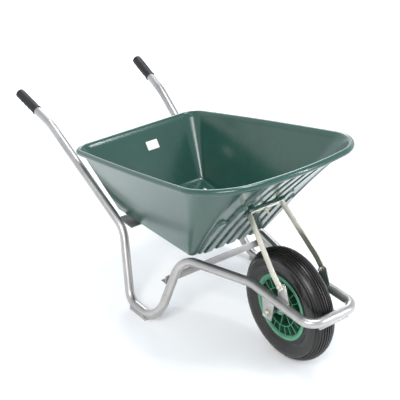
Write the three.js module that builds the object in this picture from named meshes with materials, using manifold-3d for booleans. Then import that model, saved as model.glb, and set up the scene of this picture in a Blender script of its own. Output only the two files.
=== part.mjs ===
// Single-wheel wheelbarrow: bent tube frame, moulded tray, pneumatic wheel on a plastic rim.
// Millimetres. +X runs forward to the wheel, +Y to the left, +Z up, and z = 0 is the ground.
import * as THREE from "three";
import { mergeVertices } from "three/addons/utils/BufferGeometryUtils.js";
import Module from "manifold-3d";

const GAP = 0.3;
const SIDES = [["left", 1], ["right", -1]];

// Frame tube.
const TUBE_R = 16;
const TUBE_WALL = 2;
const TUBE_FACETS = 12;
const BEND_STEP = THREE.MathUtils.degToRad(16);
const SHOE_THICK = 3.2;
const FOOT_Z = SHOE_THICK + GAP + TUBE_R;
const HANDLE_END = new THREE.Vector3(-757.7, 268, 564);
const HANDLE_BEND = new THREE.Vector3(-559, 251, 503);
const LEG_TOP = new THREE.Vector3(-136, 217, 242);
const LEG_FOOT = new THREE.Vector3(-15, 275, FOOT_Z);
const RISER_FOOT = new THREE.Vector3(151, 275, FOOT_Z);
const RISER_TOP = new THREE.Vector3(149, 167, 246);
const FORK_REAR = new THREE.Vector3(445, 92, 273);
const FORK_FRONT = new THREE.Vector3(746, 98, 271);
const BEND_RADII = [180, 120, 63, 81, 75, 150, 45];

// Tipping bar.
const BAR_R = 6;
const BAR_HALF = 60;

// Grips.
const GRIP_LENGTH = 120;
const GRIP_R = 18;
const GRIP_END = 8;
const GRIP_BORE_R = TUBE_R + 0.9;

// Tray: floor and rim measured on the outside, rear to front.
const FLOOR = { rear: -209, front: 195, halfRear: 193, halfFront: 159, zRear: 280, zFront: 265 };
const RIM = { rear: -372, front: 509, halfRear: 266, halfFront: 322, zRear: 477, zFront: 704 };
const RIM_BOW = 60;
const SIDE_BOW = 12;
const TRAY_WALL = 4;
const BEAD_R = 11;
const BEAD_INSET = 6;
const FLOOR_EDGE_R = 14;
const CORNER = { frontX: 0.3, frontY: 0.41, rearX: 0.125, rearY: 0.2 };
const FLOOR_CORNER_SHARE = 0.08;
const CORNER_GROWTH = 0.75;
const RIB_PITCH = 49;
const RIB_WIDTH = 31;
const RIB_PROUD = 10;
const RIB_DEPTH = 24;
const RIB_SPANS = [
  { ribs: [0, 1, -1], low: 0.03, high: 0.49 },
  { ribs: [0, 1, -1], low: 0.61, high: 0.95 },
  { ribs: [2, -2], low: 0.03, high: 0.64 },
  { ribs: [2, -2], low: 0.69, high: 0.95 },
  { ribs: [3, -3], low: 0.1, high: 0.5 },
];

// Facets of the tray: round of the floor edge, wall, plan corners and plan edges.
const EDGE_STEPS = 2;
const WALL_STEPS = 5;
const PLAN_SEGMENTS = 4;
const PLAN_STRETCHES = 4;

// Stay from the tray front down to the fork.
const STAY_TOP = new THREE.Vector3(394, 0, 505);
const STAY_FOOT = new THREE.Vector3(584, 0, 332);
const STAY_WIDTH = 28;
const STAY_THICK = 4;
const STAY_HALF_TOP = 69;
const STAY_HALF_FOOT = 92;
const PAD_REACH = 26;
const PAD_HALF_HEIGHT = 18;
const PAD_BOLT_HEAD = 25;
const PAD_BOLT_END = 30;

// Wheel.
const AXLE = new THREE.Vector3(531, 0, 200);
const WHEEL_R = 200;
const WHEEL_HALF = 47.5;
const WHEEL_SEGMENTS = 32;
const ROUND_FACETS = 16;
const TYRE_CENTRE_R = 158;
const TYRE_SHELL = 7;
const BEAD_SEAT_R = 101.6;
const FLANGE_R = 118.6;
const FLANGE_Y = 36;
const HUB_R = 26;
const HUB_HALF = 45;
const AXLE_R = 6;
const AXLE_HALF = 111;
const BRACKET_Y = 90;
const BRACKET_THICK = 4;
const BEARING_R = 16;
const BEARING_WIDTH = 12;
const TUBE_CENTRE_R = 157;
const INNER_TUBE_R = 31;
const VALVE_Y = -18;
const VALVE_ANGLE = THREE.MathUtils.degToRad(-60);
const VALVE_R = 4;

// Fasteners.
const M8_R = 4;
const M8_HOLE_R = 4.6;
const M8_HEX_R = 7.5;
const M8_HEAD = 5.5;
const ROUND_HEAD_R = 8;
const ROUND_HEAD = 3.4;
const WASHER_R = 9;
const AXLE_HEX_R = 11;

const wasm = await Module();
wasm.setup();

function paint(color, roughness, metalness) {
  return new THREE.MeshStandardMaterial({ color, roughness, metalness });
}

const MATERIALS = {
  galvanised: paint(0xb9b8b6, 0.38, 0.9),
  zinc: paint(0xd9d5c8, 0.35, 0.9),
  steel: paint(0xaab0b4, 0.3, 0.95),
  tray: paint(0x265c4c, 0.3, 0),
  rim: paint(0x4f9270, 0.45, 0),
  tyre: paint(0x2c2a2a, 0.85, 0),
  butyl: paint(0x1d1c1c, 0.7, 0),
  grip: paint(0x242322, 0.75, 0),
  label: paint(0xf1f1ee, 0.5, 0),
};

// ---- solids ----

function manifoldOf(geometry) {
  const bare = geometry.clone();
  bare.deleteAttribute("normal");
  bare.deleteAttribute("uv");
  const merged = mergeVertices(bare, 1e-3);
  const vertProperties = new Float32Array(merged.attributes.position.array);
  const triVerts = new Uint32Array(merged.index.array);
  const build = () => new wasm.Manifold(new wasm.Mesh({ numProp: 3, vertProperties, triVerts }));
  const made = build();
  if (made.volume() > 0) return made;
  for (let i = 0; i < triVerts.length; i += 3) {
    [triVerts[i + 1], triVerts[i + 2]] = [triVerts[i + 2], triVerts[i + 1]];
  }
  return build();
}

function geometryOf(solid) {
  const mesh = solid.getMesh();
  const geometry = new THREE.BufferGeometry();
  geometry.setAttribute("position", new THREE.BufferAttribute(new Float32Array(mesh.vertProperties), 3));
  geometry.setIndex(new THREE.BufferAttribute(new Uint32Array(mesh.triVerts), 1));
  const flat = geometry.toNonIndexed();
  flat.computeVertexNormals();
  return flat;
}

function cut(body, ...tools) {
  return tools.reduce((left, tool) => left.subtract(tool), body);
}

function join(first, ...others) {
  return others.reduce((left, other) => left.add(other), first);
}

// A cylinder along Y from y = low to y = high, over the point (x, z).
function yCylinder(radius, low, high, x = 0, z = 0, facets = ROUND_FACETS) {
  const geometry = new THREE.CylinderGeometry(radius, radius, high - low, facets);
  geometry.translate(x, (low + high) / 2, z);
  return manifoldOf(geometry);
}

function box(low, high) {
  const size = high.map((value, i) => value - low[i]);
  const geometry = new THREE.BoxGeometry(...size);
  geometry.translate(...high.map((value, i) => (value + low[i]) / 2));
  return manifoldOf(geometry);
}

// A ring about the Y axis, with the same bore all the way.
function yRing(inner, outer, low, high) {
  return cut(yCylinder(outer, low, high), yCylinder(inner, low - 1, high + 1));
}

// A plate whose outline lies in XZ, between two values of y.
function yPlate(points, low, high) {
  const shape = new THREE.Shape(points.map(([x, z]) => new THREE.Vector2(x, z)));
  const geometry = new THREE.ExtrudeGeometry(shape, { depth: high - low, bevelEnabled: false });
  geometry.rotateX(Math.PI / 2);
  geometry.translate(0, high, 0);
  return manifoldOf(geometry);
}

// ---- bent tubes ----

// The corner points of a route with each inner corner rounded to its own radius.
function roundedRoute(corners, radii) {
  const stations = [corners[0].clone()];
  radii.forEach((radius, i) => {
    const [before, corner, after] = corners.slice(i, i + 3);
    const back = before.clone().sub(corner).normalize();
    const on = after.clone().sub(corner).normalize();
    const half = back.angleTo(on) / 2;
    const turn = Math.PI - 2 * half;
    const centre = back.clone().add(on).normalize().multiplyScalar(radius / Math.sin(half)).add(corner);
    const start = corner.clone().addScaledVector(back, radius / Math.tan(half)).sub(centre);
    const end = corner.clone().addScaledVector(on, radius / Math.tan(half)).sub(centre);
    const steps = Math.max(1, Math.round(turn / BEND_STEP));
    for (let k = 0; k <= steps; k += 1) {
      const a = Math.sin(turn * (1 - k / steps)) / Math.sin(turn);
      const b = Math.sin((turn * k) / steps) / Math.sin(turn);
      stations.push(start.clone().multiplyScalar(a).addScaledVector(end, b).add(centre));
    }
  });
  stations.push(corners[corners.length - 1].clone());
  return stations;
}

// A path that has one step for each stretch between its stations.
class StationPath extends THREE.Curve {
  constructor(stations) {
    super();
    this.stations = stations;
  }

  getPoint(t) {
    const last = this.stations.length - 1;
    const i = Math.min(last - 1, Math.floor(t * last + 1e-9));
    return this.stations[i].clone().lerp(this.stations[i + 1], t * last - i);
  }

  getUtoTmapping(u) {
    return u;
  }
}

function tubeGeometry(stations, radius, bore = 0, facets = TUBE_FACETS) {
  const shape = new THREE.Shape();
  for (let k = 0; k < facets; k += 1) {
    const angle = (k / facets) * 2 * Math.PI;
    const point = [radius * Math.cos(angle), radius * Math.sin(angle)];
    if (k) shape.lineTo(...point);
    else shape.moveTo(...point);
  }
  if (bore) {
    const hole = Array.from({ length: facets }, (_, k) => {
      const angle = -(k / facets) * 2 * Math.PI;
      return new THREE.Vector2(bore * Math.cos(angle), bore * Math.sin(angle));
    });
    shape.holes.push(new THREE.Path(hole));
  }
  const options = { steps: stations.length - 1, extrudePath: new StationPath(stations) };
  return new THREE.ExtrudeGeometry(shape, options);
}

const mirrored = (point) => new THREE.Vector3(point.x, -point.y, point.z);

function frameStations() {
  const start = HANDLE_BEND.clone().sub(HANDLE_END).setLength(GRIP_END).add(HANDLE_END);
  const side = [start, HANDLE_BEND, LEG_TOP, LEG_FOOT, RISER_FOOT, RISER_TOP, FORK_REAR, FORK_FRONT];
  const corners = [...side, ...side.map(mirrored).reverse()];
  return roundedRoute(corners, [...BEND_RADII, ...[...BEND_RADII].reverse()]);
}

const frameRoute = frameStations();
const frameKeepOut = manifoldOf(tubeGeometry(frameRoute, TUBE_R + GAP + 0.1));

function frameTube() {
  return manifoldOf(tubeGeometry(frameRoute, TUBE_R, TUBE_R - TUBE_WALL));
}

function tippingBar() {
  const middle = FORK_FRONT.clone().setZ(FORK_FRONT.z - TUBE_R - BAR_R - GAP);
  const ends = [middle.clone().setY(-BAR_HALF), middle.clone().setY(BAR_HALF)];
  return manifoldOf(tubeGeometry(ends, BAR_R, 0, 12));
}

function legShoe(side) {
  const y = side * LEG_FOOT.y;
  return cut(box([2, y - 15, 0], [96, y + 15, 13]), frameKeepOut);
}

function rearCrossPlate(bolts) {
  return cut(box([-180, -212, 264], [-92, 212, 267]), frameKeepOut, ...bolts);
}

// An angle bar: its upright flange lies on the rear of the risers, above the flange that points back.
function legStrut() {
  const rear = RISER_TOP.x - TUBE_R - GAP;
  const upright = box([rear - 3, -222, 150], [rear, 222, 180]);
  const lower = box([rear - 28, -222, 150], [rear, 222, 153]);
  return cut(join(upright, lower), frameKeepOut);
}

function axleBracket(side) {
  const [low, high] = spanOf(side, BRACKET_Y, BRACKET_Y + BRACKET_THICK);
  const plate = yPlate([[497, 272], [565, 272], [551, 178], [511, 178]], low, high);
  return cut(plate, frameKeepOut, yCylinder(AXLE_R + 0.5, low - 1, high + 1, AXLE.x, AXLE.z));
}

function stayTab(side) {
  const [low, high] = spanOf(side, STAY_HALF_FOOT - 6.3, STAY_HALF_FOOT - 2.3);
  const plate = yPlate([[576, 276], [634, 276], [606, 346], [570, 346]], low, high);
  return cut(plate, frameKeepOut, yCylinder(M8_HOLE_R, low - 1, high + 1, STAY_FOOT.x, STAY_FOOT.z));
}

// The low and high y of a stretch that lies between two distances from the middle.
function spanOf(side, near, far) {
  return side > 0 ? [near, far] : [-far, -near];
}

// ---- grips ----

function gripGeometry() {
  const mouth = GRIP_LENGTH;
  const profile = new THREE.Path();
  profile.moveTo(0, 0);
  profile.lineTo(GRIP_R - 6, 0);
  profile.absarc(GRIP_R - 6, 6, 6, -Math.PI / 2, 0, false);
  profile.lineTo(GRIP_R, mouth - 4);
  profile.lineTo(GRIP_R + 1.5, mouth - 3);
  profile.lineTo(GRIP_R + 1.5, mouth);
  profile.lineTo(GRIP_BORE_R, mouth);
  profile.lineTo(GRIP_BORE_R, GRIP_END - GAP);
  profile.lineTo(0, GRIP_END - GAP);
  return new THREE.LatheGeometry(profile.getPoints(2), 16);
}

// ---- tray ----

const mix = THREE.MathUtils.lerp;

// A point of the tray's outside: u runs rear to front, v right to left, both -1 to 1; t runs floor to rim.
function trayPoint(u, v, t, inset = 0) {
  const at = (key) => mix(FLOOR[key], RIM[key], t);
  const rear = at("rear") + inset;
  const front = at("front") - inset;
  const along = (u + 1) / 2;
  const half = mix(at("halfRear"), at("halfFront"), along) - inset;
  const bow = u > 0 ? RIM_BOW * t ** 3 * u * u * (1 - v * v) : 0;
  const x = mix(rear, front, along) + bow;
  const y = v * half + SIDE_BOW * t * Math.sign(v) * v * v * (1 - u * u);
  const z = mix(at("zRear"), at("zFront"), (x - at("rear")) / (at("front") - at("rear")));
  return new THREE.Vector3(x, y, z);
}

// A plan coordinate with its corner shrunk to a share of its span and its straight edge stretched.
function tightened(value, span, share) {
  const size = Math.abs(value);
  const moved = size > 1 - span ? 1 - share * (1 - size) : (size * (1 - share * span)) / (1 - span);
  return Math.sign(value) * moved;
}

// A point of the tray's wall, where the plan corners open out from the floor to the rim.
function wallPoint(u, v, t, inset) {
  const { frontX, frontY, rearX, rearY } = CORNER;
  const share = mix(FLOOR_CORNER_SHARE, 1, Math.min(t, 1) ** CORNER_GROWTH);
  const [spanU, spanV] = u > 0 ? [frontX, frontY] : [rearX, rearY];
  return trayPoint(tightened(u, spanU, share), tightened(v, spanV, share), t, inset);
}

// The plan outline in u and v: a square whose four corners are quarter ellipses.
function planOutline() {
  const { frontX, frontY, rearX, rearY } = CORNER;
  const path = new THREE.Shape();
  const line = (fromU, fromV, toU, toV) => {
    for (let k = 1; k <= PLAN_STRETCHES; k += 1) {
      path.lineTo(mix(fromU, toU, k / PLAN_STRETCHES), mix(fromV, toV, k / PLAN_STRETCHES));
    }
  };
  const corner = (u, v, spanU, spanV, quarter) => {
    const start = (quarter * Math.PI) / 2;
    path.absellipse(u, v, spanU, spanV, start, start + Math.PI / 2, false, 0);
  };
  path.moveTo(-1 + rearX, -1);
  line(-1 + rearX, -1, 1 - frontX, -1);
  corner(1 - frontX, -1 + frontY, frontX, frontY, -1);
  line(1, -1 + frontY, 1, 1 - frontY);
  corner(1 - frontX, 1 - frontY, frontX, frontY, 0);
  line(1 - frontX, 1, -1 + rearX, 1);
  corner(-1 + rearX, 1 - rearY, rearX, rearY, 1);
  line(-1, 1 - rearY, -1, -1 + rearY);
  corner(-1 + rearX, -1 + rearY, rearX, rearY, 2);
  return path;
}

// The tray's outside, or with a wall thickness its hollow, as one closed solid.
function trayBody(wall, top) {
  const steps = EDGE_STEPS + WALL_STEPS;
  const options = { depth: 1, steps, bevelEnabled: false, curveSegments: PLAN_SEGMENTS };
  const geometry = new THREE.ExtrudeGeometry(planOutline(), options);
  const wallHeight = (RIM.zRear + RIM.zFront - FLOOR.zRear - FLOOR.zFront) / 2;
  const radius = FLOOR_EDGE_R - wall;
  const edgeTop = FLOOR_EDGE_R / wallHeight;
  const position = geometry.attributes.position;
  for (let i = 0; i < position.count; i += 1) {
    const level = Math.round(position.getZ(i) * steps);
    const turn = (Math.min(level, EDGE_STEPS) / EDGE_STEPS) * (Math.PI / 2);
    const rise = (wall + radius * (1 - Math.cos(turn))) / wallHeight;
    const t = level <= EDGE_STEPS ? rise : mix(edgeTop, top, (level - EDGE_STEPS) / WALL_STEPS);
    const inset = wall + BEAD_INSET * t + radius * (1 - Math.sin(turn));
    const point = wallPoint(position.getX(i), position.getY(i), t, inset);
    position.setXYZ(i, point.x, point.y, point.z);
  }
  return manifoldOf(geometry);
}

// A rib up the outside of the front wall at one distance from the middle.
function trayRib(y, low, high) {
  const foot = trayPoint(1, y / FLOOR.halfFront, 0);
  const footHalf = (t) => mix(FLOOR.halfFront, RIM.halfFront, t);
  const start = trayPoint(1, y / footHalf(low), low, BEAD_INSET * low);
  const end = trayPoint(1, y / footHalf(high), high, BEAD_INSET * high);
  const length = start.distanceTo(end);
  const geometry = new THREE.BoxGeometry(length, RIB_WIDTH, RIB_DEPTH);
  geometry.translate(length / 2, 0, RIB_DEPTH / 2 - RIB_PROUD);
  geometry.rotateY(-Math.atan2(end.z - start.z, end.x - start.x));
  geometry.translate(start.x, foot.y, start.z);
  return manifoldOf(geometry);
}

// The rolled edge, in two halves that lap at the middle of the rear and of the front.
function trayBead() {
  const outline = planOutline().getPoints(PLAN_SEGMENTS).slice(0, -1);
  const rim = outline.map(({ x, y }) => trayPoint(x, y, 1));
  const half = (side) => {
    const chosen = rim.filter((point) => point.y * side > 1);
    const order = (point) => Math.atan2(point.y * side, point.x - 70);
    chosen.sort((a, b) => order(a) - order(b));
    const front = trayPoint(1, 0, 1).setY(-side);
    const rear = trayPoint(-1, 0, 1).setY(-side);
    return manifoldOf(tubeGeometry([front, ...chosen, rear], BEAD_R, 0, 8));
  };
  return join(half(1), half(-1));
}

// ---- stay frame: local X runs down the stay, local Z across the flat bar ----

const stayAngle = Math.atan2(STAY_TOP.z - STAY_FOOT.z, STAY_FOOT.x - STAY_TOP.x);
const stayLength = STAY_TOP.distanceTo(STAY_FOOT);

function toStay(solid) {
  const matrix = new THREE.Matrix4().makeRotationY(stayAngle).setPosition(STAY_TOP);
  return solid.transform(matrix.elements);
}

// A cylinder on the pad bolt's axis, between two distances down the stay.
function stayCylinder(radius, low, high, facets = ROUND_FACETS) {
  const geometry = new THREE.CylinderGeometry(radius, radius, high - low, facets);
  geometry.rotateZ(Math.PI / 2);
  geometry.translate((low + high) / 2, 0, 0);
  return manifoldOf(geometry);
}

function trayStay() {
  const half = STAY_THICK / 2;
  const straight = stayLength - 45;
  const end = stayLength + 14;
  const side = (offset) => [
    [-offset, STAY_HALF_TOP + offset],
    [straight, STAY_HALF_FOOT + offset],
    [end, STAY_HALF_FOOT + offset],
  ];
  const outer = side(half);
  const inner = side(-half).reverse();
  const flip = (points) => points.map(([x, y]) => [x, -y]).reverse();
  const points = [...outer, ...inner, ...flip(inner), ...flip(outer)];
  const shape = new THREE.Shape(points.map(([x, y]) => new THREE.Vector2(x, y)));
  const geometry = new THREE.ExtrudeGeometry(shape, { depth: STAY_WIDTH, bevelEnabled: false });
  geometry.translate(0, 0, -STAY_WIDTH / 2);
  const bar = cut(manifoldOf(geometry), stayCylinder(M8_HOLE_R, -10, 10));
  return cut(toStay(bar), yCylinder(M8_HOLE_R, -120, 120, STAY_FOOT.x, STAY_FOOT.z));
}

// The moulded pad that the crossbar lies on. It starts inside the wall and is trimmed by the hollow.
function stayPad() {
  const face = -STAY_THICK / 2 - GAP;
  return toStay(box([-PAD_REACH, -STAY_HALF_TOP, -STAY_WIDTH / 2], [face, STAY_HALF_TOP, PAD_HALF_HEIGHT]));
}

function tray(floorBolts) {
  const span = ({ ribs: numbers, low, high }) => numbers.map((k) => trayRib(k * RIB_PITCH, low, high));
  const ribs = RIB_SPANS.flatMap(span);
  const outside = join(trayBody(0, 1), stayPad(), ...ribs);
  const walls = cut(outside, trayBody(TRAY_WALL, 1.02));
  const padHole = toStay(stayCylinder(M8_HOLE_R, -PAD_REACH - 5, 0));
  return cut(join(walls, trayBead()), padHole, ...floorBolts, frameKeepOut);
}

function label() {
  const low = trayPoint(-1, 0, 0.66, TRAY_WALL + BEAD_INSET * 0.66 + 0.6);
  const high = trayPoint(-1, 0, 0.81, TRAY_WALL + BEAD_INSET * 0.81 + 0.6);
  const height = low.distanceTo(high);
  const geometry = new THREE.BoxGeometry(height, 55, 0.5);
  geometry.rotateY(-Math.atan2(high.z - low.z, high.x - low.x));
  geometry.translate((low.x + high.x) / 2, 42, (low.z + high.z) / 2);
  return manifoldOf(geometry);
}

// ---- fasteners ----

// A bolt along Y: head from y = 0 outwards, shank inwards.
function yBolt(side, headAt, shankEnd, x, z) {
  const [headLow, headHigh] = spanOf(side, headAt, headAt + M8_HEAD);
  const [low, high] = spanOf(side, shankEnd, headAt + 1);
  return join(yCylinder(M8_HEX_R, headLow, headHigh, x, z, 6), yCylinder(M8_R, low, high, x, z, 10));
}

function yNut(side, near, far, x, z, hexR, boltR) {
  const [low, high] = spanOf(side, near, far);
  return cut(yCylinder(hexR, low, high, x, z, 6), yCylinder(boltR + GAP, low - 1, high + 1, x, z));
}

const FLOOR_BOLT = { x: -136, y: 150, radius: 3.6, hole: 4.2 };

// A cylinder along Z over a floor bolt.
function zCylinder(radius, low, high, side, facets = ROUND_FACETS) {
  const geometry = new THREE.CylinderGeometry(radius, radius, high - low, facets);
  geometry.rotateX(Math.PI / 2);
  geometry.translate(FLOOR_BOLT.x, side * FLOOR_BOLT.y, (low + high) / 2);
  return manifoldOf(geometry);
}

const floorBoltU = mix(-1, 1, (FLOOR_BOLT.x - FLOOR.rear) / (FLOOR.front - FLOOR.rear));
const floorInside = trayPoint(floorBoltU, 0, 0).z + TRAY_WALL;
const floorHoles = SIDES.map(([, side]) => zCylinder(FLOOR_BOLT.hole, 240, 300, side));

function floorBolt(side) {
  const low = floorInside + 1.2;
  const head = zCylinder(ROUND_HEAD_R, low, low + ROUND_HEAD, side);
  return join(head, zCylinder(FLOOR_BOLT.radius, 250, floorInside + 2, side, 10));
}

function floorWasher(side) {
  return cut(zCylinder(WASHER_R, 262, 263.7, side), zCylinder(FLOOR_BOLT.hole, 250, 270, side));
}

function floorNut(side) {
  return cut(zCylinder(7, 255.5, 261.7, side, 6), zCylinder(FLOOR_BOLT.hole, 250, 270, side));
}

// The round head lies inside the tray, and the thread ends below the crossbar.
function padBolt() {
  const head = stayCylinder(ROUND_HEAD_R, -PAD_BOLT_HEAD - ROUND_HEAD, -PAD_BOLT_HEAD);
  return toStay(join(head, stayCylinder(M8_R, -PAD_BOLT_HEAD - 1, PAD_BOLT_END, 10)));
}

const padUnder = STAY_THICK / 2 + GAP;

function padWasher() {
  return toStay(cut(stayCylinder(WASHER_R, padUnder, padUnder + 1.6), stayCylinder(M8_HOLE_R, 0, 10)));
}

function padNut() {
  const near = padUnder + 1.6 + GAP;
  return toStay(cut(stayCylinder(M8_HEX_R, near, near + 6.5, 6), stayCylinder(M8_HOLE_R, 0, 20)));
}

// ---- wheel: solids about the Y axis through the origin ----

function lathe(points, segments = WHEEL_SEGMENTS) {
  return manifoldOf(new THREE.LatheGeometry([...points, points[0]], segments));
}

function sectionArc(radial, axial, angle) {
  const arc = new THREE.EllipseCurve(TYRE_CENTRE_R, 0, radial, axial, -angle, angle, false, 0);
  return arc.getPoints(10);
}

function tyre() {
  const shoulder = THREE.MathUtils.degToRad(130);
  const bead = [[119, 35], [103, 33.5], [BEAD_SEAT_R + 0.6, 32], [BEAD_SEAT_R + 0.6, 24], [113, 26]];
  const high = bead.map(([r, y]) => new THREE.Vector2(r, y));
  const low = bead.map(([r, y]) => new THREE.Vector2(r, -y)).reverse();
  const outer = sectionArc(WHEEL_R - TYRE_CENTRE_R, WHEEL_HALF, shoulder);
  const inner = sectionArc(WHEEL_R - TYRE_CENTRE_R - TYRE_SHELL, WHEEL_HALF - TYRE_SHELL, shoulder).reverse();
  return lathe([...outer, ...high, ...inner, ...low]);
}

function innerTube() {
  const ring = (radius) => {
    const arc = new THREE.EllipseCurve(TUBE_CENTRE_R, 0, radius, radius, 0, 2 * Math.PI, false, 0);
    return lathe(arc.getPoints(8).slice(0, -1), 24);
  };
  return cut(ring(INNER_TUBE_R), ring(INNER_TUBE_R - 2.5), radial(VALVE_R + GAP, 118, 150));
}

// A cylinder along the valve, between two distances from the axle.
function radial(radius, low, high) {
  const geometry = new THREE.CylinderGeometry(radius, radius, high - low, 10);
  geometry.translate(0, (low + high) / 2, 0);
  geometry.rotateX(Math.PI / 2);
  geometry.rotateY(VALVE_ANGLE);
  geometry.translate(0, VALVE_Y, 0);
  return manifoldOf(geometry);
}

function wheelRim() {
  const half = [
    [12, HUB_HALF - BEARING_WIDTH - GAP], [BEARING_R + GAP, HUB_HALF - BEARING_WIDTH - GAP],
    [BEARING_R + GAP, HUB_HALF], [HUB_R, HUB_HALF], [HUB_R, 5], [93, 5], [93, FLANGE_Y + 3],
    [FLANGE_R, FLANGE_Y + 3], [FLANGE_R, FLANGE_Y], [BEAD_SEAT_R, FLANGE_Y], [BEAD_SEAT_R, 20], [96.5, 14],
  ];
  const high = half.map(([r, y]) => new THREE.Vector2(r, y));
  const low = half.map(([r, y]) => new THREE.Vector2(r, -y)).reverse();
  return cut(lathe([...high, ...low]), radial(VALVE_R + GAP, 85, 110));
}

function bearing(side) {
  const [low, high] = spanOf(side, HUB_HALF - BEARING_WIDTH, HUB_HALF - 0.5);
  return yRing(AXLE_R + 0.4, BEARING_R, low, high);
}

// ---- assembly ----

const wheelbarrow = new THREE.Group();

function add(name, solid, material, parent = wheelbarrow) {
  const mesh = new THREE.Mesh(geometryOf(solid), MATERIALS[material]);
  mesh.name = name;
  parent.add(mesh);
  return mesh;
}

function addFrame() {
  add("frame_tube", frameTube(), "galvanised");
  add("tipping_bar", tippingBar(), "galvanised");
  add("rear_cross_plate", rearCrossPlate(floorHoles), "galvanised");
  add("leg_strut", legStrut(), "galvanised");
  for (const [name, side] of SIDES) {
    add("leg_shoe_" + name, legShoe(side), "galvanised");
    add("axle_bracket_" + name, axleBracket(side), "galvanised");
    add("stay_tab_" + name, stayTab(side), "galvanised");
  }
}

function addGrips() {
  const axis = HANDLE_BEND.clone().sub(HANDLE_END).normalize();
  for (const [name, side] of SIDES) {
    const grip = add("grip_" + name, manifoldOf(gripGeometry()), "grip");
    const along = side > 0 ? axis : mirrored(axis);
    grip.quaternion.setFromUnitVectors(new THREE.Vector3(0, 1, 0), along);
    grip.position.copy(side > 0 ? HANDLE_END : mirrored(HANDLE_END));
  }
}

function addTray() {
  add("tray", tray(floorHoles), "tray");
  add("label", label(), "label");
  add("tray_stay", trayStay(), "zinc");
  add("pad_bolt", padBolt(), "zinc");
  add("pad_washer", padWasher(), "zinc");
  add("pad_nut", padNut(), "zinc");
  const outside = STAY_HALF_FOOT + STAY_THICK / 2 + GAP;
  const inside = STAY_HALF_FOOT - 6.3 - GAP;
  const { x, z } = STAY_FOOT;
  for (const [name, side] of SIDES) {
    add("stay_bolt_" + name, yBolt(side, outside, inside - 12, x, z), "zinc");
    add("stay_nut_" + name, yNut(side, inside - 6.5, inside, x, z, M8_HEX_R, M8_R), "zinc");
    add("floor_bolt_" + name, floorBolt(side), "zinc");
    add("floor_washer_" + name, floorWasher(side), "zinc");
    add("floor_nut_" + name, floorNut(side), "zinc");
  }
}

function addWheel() {
  const wheel = new THREE.Group();
  wheel.position.copy(AXLE);
  wheelbarrow.add(wheel);
  add("tyre", tyre(), "tyre", wheel);
  add("inner_tube", innerTube(), "butyl", wheel);
  add("wheel_rim", wheelRim(), "rim", wheel);
  add("valve_stem", radial(VALVE_R, 74, 133), "butyl", wheel);
  add("valve_cap", cut(radial(5.2, 66, 76), radial(VALVE_R + GAP, 73, 80)), "butyl", wheel);
  add("axle", yCylinder(AXLE_R, -AXLE_HALF, AXLE_HALF), "steel", wheel);
  const washer = BRACKET_Y + BRACKET_THICK + GAP;
  for (const [name, side] of SIDES) {
    add("wheel_bearing_" + name, bearing(side), "steel", wheel);
    const spacer = spanOf(side, HUB_HALF + 0.5, BRACKET_Y - GAP);
    add("axle_spacer_" + name, yRing(AXLE_R + 0.4, 10, ...spacer), "steel", wheel);
    add("axle_washer_" + name, yRing(AXLE_R + 0.4, 13, ...spanOf(side, washer, washer + 2)), "zinc", wheel);
    add("axle_nut_" + name, yNut(side, washer + 2.3, washer + 12, 0, 0, AXLE_HEX_R, AXLE_R), "zinc", wheel);
  }
}

addFrame();
addGrips();
addTray();
addWheel();

export default wheelbarrow;
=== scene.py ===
"""Wheelbarrow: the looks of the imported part.

Outlines are in millimetres in the part's frame, meshes in metres.
"""
import math

import bmesh
import bpy
import numpy as np
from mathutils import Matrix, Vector


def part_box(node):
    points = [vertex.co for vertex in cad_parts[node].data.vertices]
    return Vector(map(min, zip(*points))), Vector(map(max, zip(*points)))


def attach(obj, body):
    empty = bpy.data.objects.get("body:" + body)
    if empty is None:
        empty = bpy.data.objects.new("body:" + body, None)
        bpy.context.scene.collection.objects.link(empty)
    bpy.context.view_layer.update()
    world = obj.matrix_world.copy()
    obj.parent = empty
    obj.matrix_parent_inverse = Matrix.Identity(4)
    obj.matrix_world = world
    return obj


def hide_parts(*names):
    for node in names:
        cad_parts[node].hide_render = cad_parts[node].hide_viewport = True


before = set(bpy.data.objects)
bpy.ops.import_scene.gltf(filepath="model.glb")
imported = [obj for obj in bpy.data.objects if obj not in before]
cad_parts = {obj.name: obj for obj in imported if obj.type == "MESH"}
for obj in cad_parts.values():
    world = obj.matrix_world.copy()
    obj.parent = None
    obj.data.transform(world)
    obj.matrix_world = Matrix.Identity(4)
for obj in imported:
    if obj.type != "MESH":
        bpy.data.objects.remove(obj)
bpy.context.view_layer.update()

MM = 0.001
BEVEL_ABOVE = math.radians(28)
SIDES = (("left", 1), ("right", -1))


def node_box(node):
    """Lowest and highest corner of a CAD node, in millimetres."""
    return tuple(np.array(corner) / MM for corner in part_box(node))


def node_centre(node):
    """The middle of a CAD node's box, in millimetres."""
    return sum(node_box(node)) / 2


# Frame tube: corners of the left half of its route, from the handle to the front.
TUBE_R = 16.0
TUBE_FACETS = 40
GRIP_END = 8.0
FOOT_Z = node_box("frame_tube")[0][2] + TUBE_R
ROUTE = np.array([
    (-757.7, 268, 564),
    (-559, 251, 503),
    (-136, 217, 242),
    (-15, 275, FOOT_Z),
    (151, 275, FOOT_Z),
    (149, 167, 246),
    (445, 92, 273),
    (746, 98, 271),
])
BEND_RADII = [180, 120, 63, 81, 75, 150, 45]
MIRROR = np.array((1, -1, 1))
WELD_RIPPLE = 4.2

# Grips.
GRIP_LENGTH = 120.0
GRIP_R = 18.0
GRIP_DOME = 6.5
GRIP_FACETS = 56
COLLAR = {"proud": 1.2, "half": 2.6, "from_mouth": 3.2}
GRIP_RING = {"depth": 0.32, "pitch": 3.2}
FINGER_WAVE = {"depth": 2.2, "pitch": 24.0, "first": 14.0}

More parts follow.
